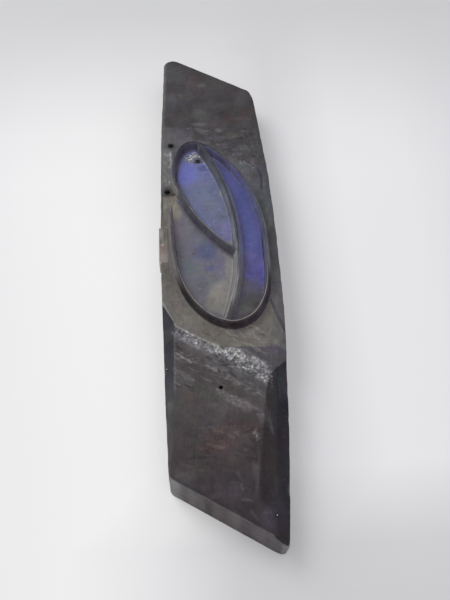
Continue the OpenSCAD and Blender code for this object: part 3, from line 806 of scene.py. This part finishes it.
def paint_ridges(c, p, n):
    """Walls and crests of the raised figure, cell by cell, in tones that include painted light and painted shade; the
    shade factor brightens their colours where less light reaches them.
    """
    x, y, z = p.T
    high = ramp(z, 35.2, 35.8)
    # painted light: the raised parts are brightened where the lamp and sky reach them less
    c.shade = 1 + high * (lit(n) - 1)
    near_o, span = along(p, OUTLINE[::2])
    span = span * SPANS
    near_a, _ = along(p, ARC[::4])
    ring = inside(p, OUTLINE[2 * STEPS:22 * STEPS])
    west = np.hypot(x - ARC_MID[0], y - ARC_MID[1]) < ARC_R
    crest = ramp(z, 41.9, 42.5)
    at_arc = near_a < near_o
    # the floors of the cells around the felts, and the pocket of the slip of wood, in felt-like tones; painted light
    # lifts the shade in these grooves, most of all beside the arc
    low = ring * (1 - high) * (np.minimum(near_o, near_a) < 9) * ((z < 34.8) | (n[:, 2] < 0.8))
    c.coats(low, 1, [
        (1, (98, 97, 108)),
        (west * (span < 9), (92, 90, 98)),
        (~west, (98, 98, 138)),
        (~west * (near_o < near_a) * ramp(y, 60, 96), (86, 86, 116)),
        (~west * at_arc, (108, 108, 138)),
        (~west * at_arc * ramp(y, 2, -14), (112, 110, 126)),
        (west * at_arc * ramp(y, 40, 14), (124, 123, 130)),
        (~west * ramp(y, -24, -36), (104, 101, 106))])
    pocket = (x < -43.6) * (np.abs(y - 8.7) < 20.5) * ((z < 34.6) | (n[:, 2] < 0.8)) * (x > -49) * (z > 19)
    c.lay(pocket, (112, 106, 102))
    # painted light: the grooves and the pocket are brightened against their shade
    c.shade *= 1 - 0.55 * np.maximum(low, pocket)
    c.lay(high, (84, 84, 90))
    # outside walls: painted shade under the figure and along its right side, darkest at the lower right; at the left
    # and above, painted as lit, like the field
    c.coats(high * ~ring * (near_o < 6), 1, [
        (1, (92, 91, 99)),
        (ramp(x, 0, 16) * ramp(y, 104, 84), (84, 84, 94)),
        (ramp(x, 25, 32) * ramp(y, 30, 0), (77, 76, 83)),
        (ramp(x, -22, -30) * ramp(y, 100, 60), (103, 99, 98)),
        (ramp(y, -20, -44), (47, 42, 45)),
        (ramp(x, 10, 24) * ramp(y, -14, -34), (45, 40, 46), 0.95)])
    # the leaf's wall toward the lower cell, dark with painted shade
    c.coats(high * ramp(span, 22.0, 22.6) * (near_o < 6) * ~(near_a < 2.0), 0.95, [
        (1, (68, 67, 78)),
        (ramp(span, 23.6, 24.6), (72, 68, 74), 0.7)])
    # inner walls: painted shade at the top of the leaf and on the left of the lower cell, blue on the right of the
    # crescent
    inner = high * ring * (near_o < near_a)
    c.coats(inner * west * ramp(span, 16.8, 17.2) * (span < 22.3), 0.95, [
        (1, (61, 59, 71)),
        (ramp(y, 100, 84), (78, 76, 88), 0.8)])
    c.coats(inner * ~west, 0.9, [
        (1, (85, 86, 121), 0.95),
        (ramp(y, 76, 100), (76, 76, 98)),
        (ramp(y, -10, -36), (88, 86, 98)),
        (ramp(z, 40, 42.4), (84, 85, 106), 0.8)])
    c.lay(inner * west * (span < 9), (90, 87, 94), 0.9)
    # the dividing ridge: its left flank, turned to the lamp, pale with painted light; on the right blue above, grey
    # below
    arc = high * ring * (near_a < 6.5) * (near_a < near_o + 0.8)
    c.coats(arc * west, 0.9, [
        (1, (98, 102, 110), 0.95),
        (ramp(y, 40, 14), (128, 127, 133)),
        (ramp(y, 2, -6), (124, 124, 127)),
        (ramp(y, 52, 74), (81, 85, 93), 0.8),
        (ramp(y, 96, 108), (70, 70, 80))])
    east = arc * ~west
    c.coats(east, 0.9, [
        (1, (89, 90, 107), 0.95),
        (ramp(near_a, 2.5, 4.5), (91, 92, 124)),
        (ramp(y, 80, 96), (96, 93, 118)),
        (ramp(y, 2, -16), (93, 91, 104)),
        (ramp(y, -20, -34), (88, 86, 91), 0.95),
        (ramp(y, -42, -54), (82, 79, 83))])
    c.coats(arc * crest, 0.9, [
        (ramp(y, 2, 10), (74, 76, 85)),
        (ramp(y, 2, -6) * (west | (near_a < 0.9)), (121, 121, 124))])
    c.lay(east * ramp(near_a, 2.4, 1.6) * ramp(y, -20, -34) * ramp(y, -64, -50), (134, 132, 133), 0.95)
    # the outline's own crest, darker below the figure with painted shade, and the shaded side of the leaf's strip,
    # painted shade
    c.coats(crest * (near_o < near_a) * ~(near_a < 1.5), 0.9, [
        (west, (80, 77, 82)),
        (ramp(span, 16, 17), (72, 70, 78), 0.8),
        (ramp(x, -4, 8) * ramp(y, -40, -20), (84, 84, 92)),
        (ramp(y, -20, -44), (62, 58, 60))])
    leaf = inside(p, OUTLINE[TOP_AT:TIP_AT]) * (near_o < near_a)
    c.lay(high * (z > 40) * ring * leaf * ramp(span, 20.5, 22), (58, 56, 66), 0.85)
    c.rgb += (high * 7 * layers(p, (4, 5, 4), 33))[:, None]


def paint_back(c, p, n):
    """The hidden back: plain wood with a little grain along the plank."""
    back = ramp(n[:, 2], -0.5, -0.9) * ramp(p[:, 2], 1.2, 0.6)
    c.shade = c.shade + back * (1 - c.shade)
    c.lay(back, (92, 86, 83))
    c.rgb += (back * (5 * layers(p, (2, 60, 4), 41) + 4 * layers(p, (20, 40, 20), 42)))[:, None]


def paint_sides(c, p, n):
    """The long sides with their grain, and the ends with their growth rings."""
    x, y, z = p.T
    side = ramp(np.abs(n[:, 2]), 0.5, 0.2) * (1 - ramp(z, 35.2, 35.8))
    c.lay(side, (84, 80, 80))
    long_side = side * ramp(np.abs(n[:, 0]), 0.5, 0.8)
    c.coats(long_side, 0.6, [
        (ramp(layers(p, (24, 60, 16), 56), 0.0, 0.5), (66, 60, 59)),
        (ramp(layers(p, (8, 18, 5), 57), 0.3, 0.6), (104, 99, 95), 0.5)])
    c.rgb += (long_side * 13 * layers(p, (3, 46, 1.7), 58))[:, None]
    c.lay(long_side * ramp(z + 3 * c.rough, 3.0, 1.0), (102, 97, 93), 0.6)
    end = side * ramp(-n[:, 1], 0.4, 0.8) * ramp(y, -190, -198)
    c.lay(end, (99, 92, 94))
    c.blots(END_FACE, where=end)
    c.blot(-17, -213.5, 3.4, 2.6, (66, 58, 61), 0.8, where=side)
    c.blot(34, -249, 5, 4, (132, 130, 132), 0.8, where=side)
    rings = np.hypot(x - 12 + 3 * c.rough, z + 46)
    c.rgb += (side * ramp(np.abs(n[:, 1]), 0.4, 0.8) * 3.5 * np.sin(rings * 2.6))[:, None]
    # painted light on the rounded corner between the left side and the end face, turned to the lamp
    c.lay(side * ramp(x, -34, -42) * ramp(y, -190, -200), (136, 136, 140), 0.9)


def wood_material():
    """Fibre, dark blots and scrapes along the bevel, with pale flecks, scraped wood with painted glints, where the
    mask called pale is high.
    """
    m = Nodes("worn_wood")
    fibre = m.noise(m.mapped((1, 0.08, 1)), 1000, 3)
    blots = m.noise(m.coord, 300, 4, 0.6)
    scrape = m.noise(m.streaks(-33.5, 2.4), 760, 2, 0.6, 0.5)
    dust = m.noise(m.coord, 620, 2, 0.6)
    col = m.toned((fibre, 0.5), (blots, 0.8), (scrape, 0.35))
    strength = m.attribute("pale")
    # flecks: where the strength is high, a lower crest of the pattern already shows pale
    level = m.minus(0.72, m.times(strength, 0.16))
    fleck = m.times(m.minus(m.plus(m.times(scrape, 0.75), m.times(dust, 0.25)), level), 12.0, True)
    fleck = m.times(fleck, m.times(strength, 1.4, True), True)
    # the flecks' pale colour: scraped wood with painted glints
    col = m.mix(m.times(fleck, 0.7), col, srgb(184, 184, 186))
    spots = m.times(m.minus(dust, 0.68), 14.0, True)
    col = m.mix(m.times(spots, 0.22), col, srgb(150, 148, 150))
    m.set("Base Color", col)
    m.set("Roughness", m.minus(0.62, m.times(fleck, 0.2)))
    m.set("Specular IOR Level", 0.3)
    m.bump(m.plus(m.plus(fibre, blots), m.times(fleck, 0.5)), 0.4, 0.0003)
    return m.mat


def make_wood():
    """The plank; the strips' copies fill their slots up to the crests, so each strip stands in closed wood."""
    ob, p, n = even_copy("plank", ["wood_block", "outer_strip", "petal_strip", "crescent_strip"], WOOD_VOXEL, 2)
    moved, pale, broken = carve_wood(p, n)
    set_points(ob, np.clip(moved, *limits("wood_block")))
    paint_wood(p, n, broken, pale).store(ob)
    mask(ob, "pale", pale)
    ob.data.materials.append(wood_material())
    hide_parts("wood_block")
    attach(ob, "root")


# Strips and felt

def strip(name, node, line, seed, colours):
    """One bent strip of metal on edge; colours rows are (share of its length, colour)."""
    line, s = evenly(line, 0.8)
    p = np.stack([s, np.zeros_like(s), np.zeros_like(s)], 1)
    wave = 0.22 * layers(p, (22, 1, 1), seed) + 0.15 * noise(p, (4, 1, 1), seed + 5)
    height = np.minimum(wave - 0.2, 0)
    lean = 0.08 * noise(p, (30, 1, 1), seed + 9)
    h = 0.38  # half the thickness
    side = [(h, SEAT), (h, TOP - 0.6), (h, TOP - 0.2), (h * 0.5, TOP)]
    ob = swept(name, line, side + [(-left, z) for left, z in side[::-1]], height, lean)
    q = points_of(ob)
    _, at = along(q, line[::6])
    c = Paint(q, seed, (0, 0, 0))
    for k in range(3):
        c.rgb[:, k] = np.interp(at, [r[0] for r in colours], [r[1][k] for r in colours])
    c.mottle(26, 6, (5, 5, 5))
    c.store(ob, 0.02)
    ob.data.materials.append(STRIP)
    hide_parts(node)
    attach(ob, "root")


def make_strips():
    strip("outer_edge", "outer_strip", OUTLINE[WORN_TO:TOP_AT + 1], 31,
          [(0, (82, 79, 80)), (0.10, (90, 87, 88)), (0.18, (118, 114, 112)), (0.30, (146, 142, 140)),
           (0.44, (148, 145, 144)), (0.50, (126, 122, 126)), (0.54, (104, 101, 110)), (0.60, (92, 92, 102)),
           (0.68, (88, 88, 100)), (0.76, (86, 87, 102)), (0.84, (80, 81, 92)), (1, (74, 73, 82))])
    strip("leaf_edge", "petal_strip", OUTLINE[TOP_AT:TIP_AT], 37,
          [(0, (80, 78, 88)), (0.25, (78, 76, 82)), (0.5, (88, 88, 90)), (0.66, (118, 116, 116)),
           (0.85, (134, 132, 130)), (1, (112, 110, 110))])
    strip("crescent_edge", "crescent_strip", ARC, 41,
          [(0, (130, 126, 124)), (0.12, (160, 157, 156)), (0.24, (148, 146, 148)), (0.36, (82, 83, 86)),
           (0.6, (60, 62, 66)), (0.85, (66, 68, 72)), (1, (78, 78, 84))])


def felt_material(name):
    """Matte fuzz and clouds, with pale crumbs where the mask called pale is high."""
    m = Nodes(name)
    fuzz = m.noise(m.coord, 1500, 3)
    cloud = m.noise(m.coord, 260, 4, 0.6)
    col = m.toned((fuzz, 0.3), (cloud, 0.4))
    dust = m.noise(m.coord, 640, 2, 0.6)
    strength = m.attribute("pale")
    fleck = m.times(m.minus(dust, m.minus(0.76, m.times(strength, 0.25))), 14.0, True)
    fleck = m.times(fleck, m.times(strength, 2.0, True))
    m.set("Base Color", m.mix(m.times(fleck, 0.85), col, srgb(205, 205, 206)))
    m.set("Roughness", 0.95)
    m.set("Sheen Weight", 0.05)
    m.bump(m.plus(fuzz, fleck), 0.5, 0.0003)
    return m.mat


def felt(name, node, slot, seed, colour, paint):
    """One inlay: soft edges, lumps, crumbs, and painted light that lifts the shade on its sides and at the foot of
    the ridges.
    """
    ob, p, n = even_copy(name, [node], FINE_VOXEL, 1)
    top = ramp(n[:, 2], 0.3, 0.9)
    c = Paint(p, seed, colour)
    pale = paint(c, p)
    c.mottle(9, 4, (9, 12, 9))
    crumbs = 0.35 * pale * np.abs(noise(p, (1.3, 1.3, 1.3), seed + 4))
    move = 0.16 * layers(p, (8, 8, 8), seed) + 0.10 * noise(p, (1.6, 1.6, 1.6), seed + 3) - 0.08 + crumbs
    low, high = limits(node)
    moved = p + n * (move * top + 0.45 * (1 - top) * (p[:, 2] > 33.5))[:, None]
    moved[:, :2] = np.clip(moved[:, :2], low[:2], high[:2])
    set_points(ob, moved)
    foot = np.minimum(along(p, OUTLINE[::2])[0], along(p, ARC[::4])[0] - 1.2)
    # painted light: the sides and the strip along the ridges' feet are brightened against their shade
    c.shade = np.maximum(lit(n), 0.7) * (1 - 0.22 * ramp(foot, 5.0, 1.8))
    c.store(ob, 0.0, 0.96)
    mask(ob, "pale", pale)
    ob.data.materials.append(felt_material(slot))
    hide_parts(node)
    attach(ob, "root")


# the dark blot at (-10, 95) is painted shadow below the hole
LEAF = [
    (-26, 88, 13, 15, (109, 114, 188), 0.65), (-30, 62, 6, 14, (104, 106, 138)),
    (-24, 68, 8, 5, (100, 109, 142), 0.5), (-12, 70, 12, 10, (106, 114, 144), 0.8),
    (-6, 52, 6, 8, (108, 112, 128), 0.6), (1, 38, 4, 9, (96, 107, 128), 0.8),
    (-16, 44, 7, 10, (105, 110, 146)), (6, 22, 6, 9, (122, 118, 162), 0.85),
    (-6, 30, 7, 7, (112, 112, 150), 0.6), (5, 64, 3, 5, (130, 134, 136)),
    (11, 8, 5, 3.5, (132, 130, 130), 0.8), (8, 44, 3, 12, (112, 116, 132)),
    (-10, 95, 8, 4.5, (86, 89, 136), 0.9), (-33, 100, 3, 10, (120, 120, 140), 0.5),
    (-15, 107, 14, 7, (116, 116, 124), 0.8), (0, 88, 4, 6, (116, 120, 138)),
]
CRESCENT = [
    (22, 70, 6, 8, (84, 86, 138)), (28, 40, 6, 16, (82, 90, 142), 0.8), (30, 12, 5, 12, (84, 88, 146), 0.8),
    (34, -18, 5, 12, (87, 85, 150), 0.8), (22, -16, 4, 10, (78, 78, 122)), (26, -6, 5, 5, (98, 96, 150)),
    (18, 20, 4, 20, (88, 90, 122), 0.6), (16, 56, 4, 14, (84, 86, 122), 0.6), (14, -60, 12, 5, (90, 95, 90)),
    (34, -44, 4, 6, (104, 92, 118), 0.6), (28, -56, 6, 5, (76, 72, 76)), (18, -34, 5, 8, (86, 82, 88), 0.8),
]
LOWER_CELL = [
    (-37, 46, 9, 15, (136, 129, 121), 0.95), (-33, 20, 8, 14, (112, 106, 118), 0.8),
    (-24, 26, 6, 10, (112, 110, 122), 0.6), (-12, 0, 11, 14, (91, 93, 126), 0.9),
    (-20, 12, 8, 8, (104, 106, 122)), (0, -14, 8, 10, (104, 103, 126)),
    (-27, -18, 10, 9, (98, 106, 111), 0.8), (-9, -18, 5, 3.5, (90, 90, 130)),
    (-24, -38, 10, 8, (104, 102, 108)), (-12, -34, 9, 7, (106, 107, 112)),
    (-1, -48, 14, 17, (140, 135, 131), 0.95), (6, -34, 5, 12, (126, 124, 122)),
    (4, -26, 4, 5, (104, 98, 126)), (-14, -50, 8, 5, (110, 106, 110), 0.6),
    (-7, -57, 11, 8, (130, 125, 122), 0.8), (-34, 2, 4, 16, (100, 98, 104), 0.6),
    (-22, -2, 1.6, 1.6, (84, 76, 84), 0.8), (-16, -28, 4, 3, (96, 94, 118), 0.6),
]
LEAF_HOLE = (-14.6, 104)


def paint_leaf(c, p):
    x, y = p[:, 0], p[:, 1]
    c.lay(ramp(y - 0.7 * (x + 25) + 5 * c.rough, 54, 96), (112, 117, 174), 0.9)
    c.lay(ramp(y, 40, 10), (110, 112, 150), 0.8)
    c.blots(LEAF)
    # painted shade in the hole
    c.blot(*LEAF_HOLE, 5.0, 4.4, (66, 66, 86))
    ragged = 0.4 * c.rough
    pale = np.maximum(blot(p, -15, 107, 16, 9, -25, ragged), 0.9 * blot(p, -5, 98, 12, 6, -50, ragged))
    pale = pale * (1 - blot(p, *LEAF_HOLE, 5, 4.4))
    for *place, strength in [(5, 66, 3, 3, 0.6), (0, 79, 3, 3, 0.5), (11, 8, 4, 3, 0.5)]:
        pale = np.maximum(pale, strength * blot(p, *place))
    edge, _ = along(p, np.concatenate([OUTLINE[TOP_AT:TIP_AT:2], OUTLINE[TIP_AT:TIP_AT + 1]]))
    # painted shadow of the rim along the leaf's upper left edge
    c.lay(ramp(edge + 0.8 * c.rough, 5.4, 2.8) * ramp(x, -14, -26), (82, 81, 98), 0.85)
    c.scratches((-38, 6, 16, 100), 70, (1, 4), 60, 60, 10, 0.7, 23)
    c.scratches((-38, 6, 16, 100), 60, (1, 4), 60, 60, -11, 0.7, 24)
    return pale


def paint_crescent(c, p):
    x, y = p[:, 0], p[:, 1]
    c.lay(ramp(y, 78, 104), (86, 84, 128))
    c.lay(ramp(y, 96, 110), (100, 95, 118))
    c.lay(ramp(y, 10, -12), (84, 83, 138), 0.8)
    fade = y + 0.35 * (x - 24) + 5 * c.rough
    c.lay(ramp(fade, -26, -42), (88, 84, 104))
    c.lay(ramp(fade, -38, -52), (80, 77, 82))
    c.blots(CRESCENT)
    rim = ramp(along(p, OUTLINE[12 * STEPS:TOP_AT:2])[0] + 0.7 * c.rough, 4.8, 2.6)
    c.lay(rim, (84, 82, 116), 0.6)
    c.lay(rim * ramp(y, -22, -36), (88, 83, 97), 0.9)
    foot = along(p, ARC[::4])[0] + 0.7 * c.rough
    c.lay(ramp(foot, 7.5, 4.5) * ramp(y, 90, 70), (88, 88, 118), 0.7)
    c.lay(ramp(foot, 8.5, 4.5) * ramp(y, 4, -12), (88, 86, 102), 0.8)
    c.scratches((8, -64, 40, 100), 60, (1, 5), 80, 40, 9, 0.7, 25)
    c.scratches((8, -64, 40, 100), 60, (1, 5), 80, 40, -10, 0.7, 26)
    return 0.3 * blot(p, 16, -62, 8, 4)


def paint_lower(c, p):
    c.blots(LOWER_CELL)
    # pale band along the dividing ridge: worn felt with painted light
    c.line([(10, -2), (9.6, -16), (8.4, -30), (5, -46), (0, -60)], 8, (133, 129, 127), 0.92)
    ridge, _ = along(p, OUTLINE[21 * STEPS:TIP_AT + 1:2])
    # painted shade along the foot of the leaf's wall
    c.lay(ramp(ridge + 0.6 * c.rough, 6.0, 3.6), (84, 81, 89), 0.75)
    c.scratches((-36, -60, 8, 40), 50, (2, 7), 60, 60, -11, 0.8, 13)
    c.scratches((-36, -60, 8, 40), 40, (2, 6), 20, 60, 10, 0.8, 14)
    return np.zeros(len(p))


# The slip of wood and the pins

SLIP = [
    (-45.4, 20, 2.4, 11, (106, 102, 99), 0.85), (-49, 22, 2.4, 5, (150, 148, 144)),
    (-47.5, 6, 4, 4, (128, 108, 104)), (-46, -4, 4, 6, (146, 139, 134)),
    (-49.4, 12, 1.4, 3, (96, 90, 88), 0.6), (-47.6, 8.6, 1.2, 0.8, (186, 184, 182), 0.8),
]
PIN_SIDES = 24


def make_patch():
    """The pale slip of wood let into the left edge."""
    ob, p, n = even_copy("edge_slip", ["edge_patch"], FINE_VOXEL, 2)
    p = p + n * (0.2 * layers(p, (3, 12, 3), 71) - 0.1 + 0.3 * (n[:, 2] < 0.5))[:, None]
    set_points(ob, np.clip(p, *limits("edge_patch")))
    c = Paint(p, 73, (133, 127, 123))
    c.blots(SLIP)
    # painted light: the slip is brightened where less light reaches it
    c.shade = lit(n)
    c.mottle(12, 4, (3, 9, 3))
    c.store(ob)
    ob.data.materials.append(one_grain("patch_wood", 700, 4, 0.6, 0.8, stretch=0.1))
    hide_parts("edge_patch")
    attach(ob, "root")


def make_pins():
    """Two headless pins, dark with a small bright middle."""
    metal = one_grain("pin_metal", 900, 2, 0.5, 0.45, metal=0.4, bump=0.2, depth=0.0001)
    for node, dark in (("grip_pin", (46, 43, 48)), ("edge_pin", (66, 66, 68))):
        low, high = limits(node)
        mid, r = (low + high) / 2, (high[:2] - low[:2]).min() / 2
        # share of the radius, and depth under the top
        rings = [(0.98, high[2] - low[2]), (0.98, 0.35), (0.8, 0.2), (0.56, 0.15), (0.5, 0.05), (0.3, 0)]
        turns = np.arange(PIN_SIDES) * math.tau / PIN_SIDES
        verts = [(mid[0] + k * r * math.cos(t), mid[1] + k * r * math.sin(t), high[2] - deep)
                 for k, deep in rings for t in turns]
        faces = [list(range(len(verts) - PIN_SIDES, len(verts))), list(range(PIN_SIDES - 1, -1, -1))]
        for a in range(0, len(verts) - PIN_SIDES, PIN_SIDES):
            for i in range(PIN_SIDES):
                j = (i + 1) % PIN_SIDES
                faces.append((a + i, a + j, a + PIN_SIDES + j, a + PIN_SIDES + i))
        ob = object_of(node + "_head", verts, faces)
        p = points_of(ob)
        c = Paint(p, 97, dark)
        c.lay(ramp(np.hypot(p[:, 0] - mid[0], p[:, 1] - mid[1]) / r, 0.58, 0.5), (196, 196, 195))
        c.store(ob)
        ob.data.materials.append(metal)
        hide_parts(node)
        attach(ob, "root")


STRIP = one_grain("strip_metal", 500, 3, 0.8, 0.5, metal=0.25)
make_wood()
make_strips()
felt("leaf_inlay", "petal_felt", "light_felt", 51, (107, 112, 142), paint_leaf)
felt("crescent_inlay", "crescent_felt", "deep_felt", 57, (80, 84, 142), paint_crescent)
felt("lower_inlay", "lower_felt", "grey_felt", 61, (106, 105, 116), paint_lower)
make_patch()
make_pins()


# Floor, light and camera

FLOOR_CELL, FLOOR_REACH = 60, 3000
LAMP_AT, LAMP_SIZE, LAMP_POWER, WORLD_LEVEL = (-0.95, 0.8, 1.5), 1.2, 15, 0.68
# the focal length in pixels of the 600 pixel side, and where the camera stands and looks
FOCAL, FRAME, SENSOR = 845.75, 600, 36
CAMERA_AT, LOOKS_AT, CAMERA_RIGHT = (-18.62, -437.99, 589.24), (1.74, -50.44, 35.0), (0.99862, -0.05246, 0.0)


def make_stage():
    """A pale paper floor with painted light and shade, brightest to the left of the block, with painted shadow to its
    right and under its lower end; a quarter of what the camera sees is its glow.
    """
    rows = range(-FLOOR_REACH, FLOOR_REACH + 1, FLOOR_CELL)
    verts = [(x, y, 0.0) for y in rows for x in rows]
    n = len(rows)
    faces = [(k, k + 1, k + n + 1, k + n) for j in range(n - 1) for k in range(j * n, j * n + n - 1)]
    floor = object_of("floor", verts, faces)
    p = points_of(floor)
    x, y = p[:, 0], p[:, 1]
    c = Paint(p, 91, (236, 236, 237))
    # painted light and shade: a pool of light round the block, lighter to its left against the contact shade, painted
    # shadow to its right and under its lower end, darker to the sides and far away
    c.coats(ramp(np.hypot(x, (y - 40) / 1.35), 560, 360), 1, [
        (1.0, (243, 243, 244)),
        (ramp(x, -150, -60) * ramp(y, 120, 20), (250, 250, 251)),
        (ramp(x, -140, -240), (232, 232, 234)),
        (ramp(x, 10, 70), (222, 221, 225)),
        (ramp(x, 62, 100), (238, 237, 240)),
        (ramp(x, 150, 250), (227, 226, 230)),
        (ramp(y, 110, 420), (204, 204, 207)),
        (0.9 * ramp(y, -180, -262) * ramp(x, -90, -20), (207, 207, 210))])
    c.lay(ramp(np.hypot(x, y), 700, 2600), (227, 227, 228))
    c.store(floor, 0.0, 1.0)
    m = Nodes("floor_paper")
    col = m.attribute("paint", "Color")
    m.set("Base Color", col)
    m.set("Roughness", 0.9)
    m.set("Specular IOR Level", 0.2)
    both = m.tree.nodes.new("ShaderNodeMixShader")
    m.link(m.times(m.add("LightPath", "Is Camera Ray"), 0.25), both.inputs[0])
    m.link(m.shader.outputs[0], both.inputs[1])
    m.link(m.add("Emission", 0, Color=col), both.inputs[2])
    m.link(both.outputs[0], m.out.inputs[0])
    floor.data.materials.append(m.mat)


def make_light():
    """An even white sky and one large lamp from the upper left."""
    world = bpy.data.worlds.new("studio")
    bpy.context.scene.world = world
    world.use_nodes = True
    sky = world.node_tree.nodes["Background"]
    sky.inputs["Color"].default_value = (1, 1, 1, 1)
    sky.inputs["Strength"].default_value = WORLD_LEVEL
    lamp = bpy.data.lights.new("key", "AREA")
    lamp.shape = "DISK"
    lamp.size = LAMP_SIZE
    lamp.energy = LAMP_POWER
    ob = placed("key", lamp)
    ob.location = LAMP_AT
    ob.rotation_euler = (Vector((0, 0, 0.03)) - ob.location).to_track_quat("-Z", "Y").to_euler()


def make_camera():
    """The camera at the photograph's viewing angle."""
    cam = bpy.data.cameras.new("camera")
    cam.sensor_width = SENSOR
    cam.lens = FOCAL / FRAME * SENSOR
    ob = placed("camera", cam)
    place = Vector(CAMERA_AT) * MM
    back = (place - Vector(LOOKS_AT) * MM).normalized()
    over = back.cross(Vector(CAMERA_RIGHT)).normalized()
    turn = Matrix((over.cross(back), over, back)).transposed()
    ob.matrix_world = Matrix.Translation(place) @ turn.to_4x4()
    bpy.context.scene.camera = ob


make_stage()
make_light()
make_camera()
bpy.context.scene.view_settings.view_transform = "Standard"
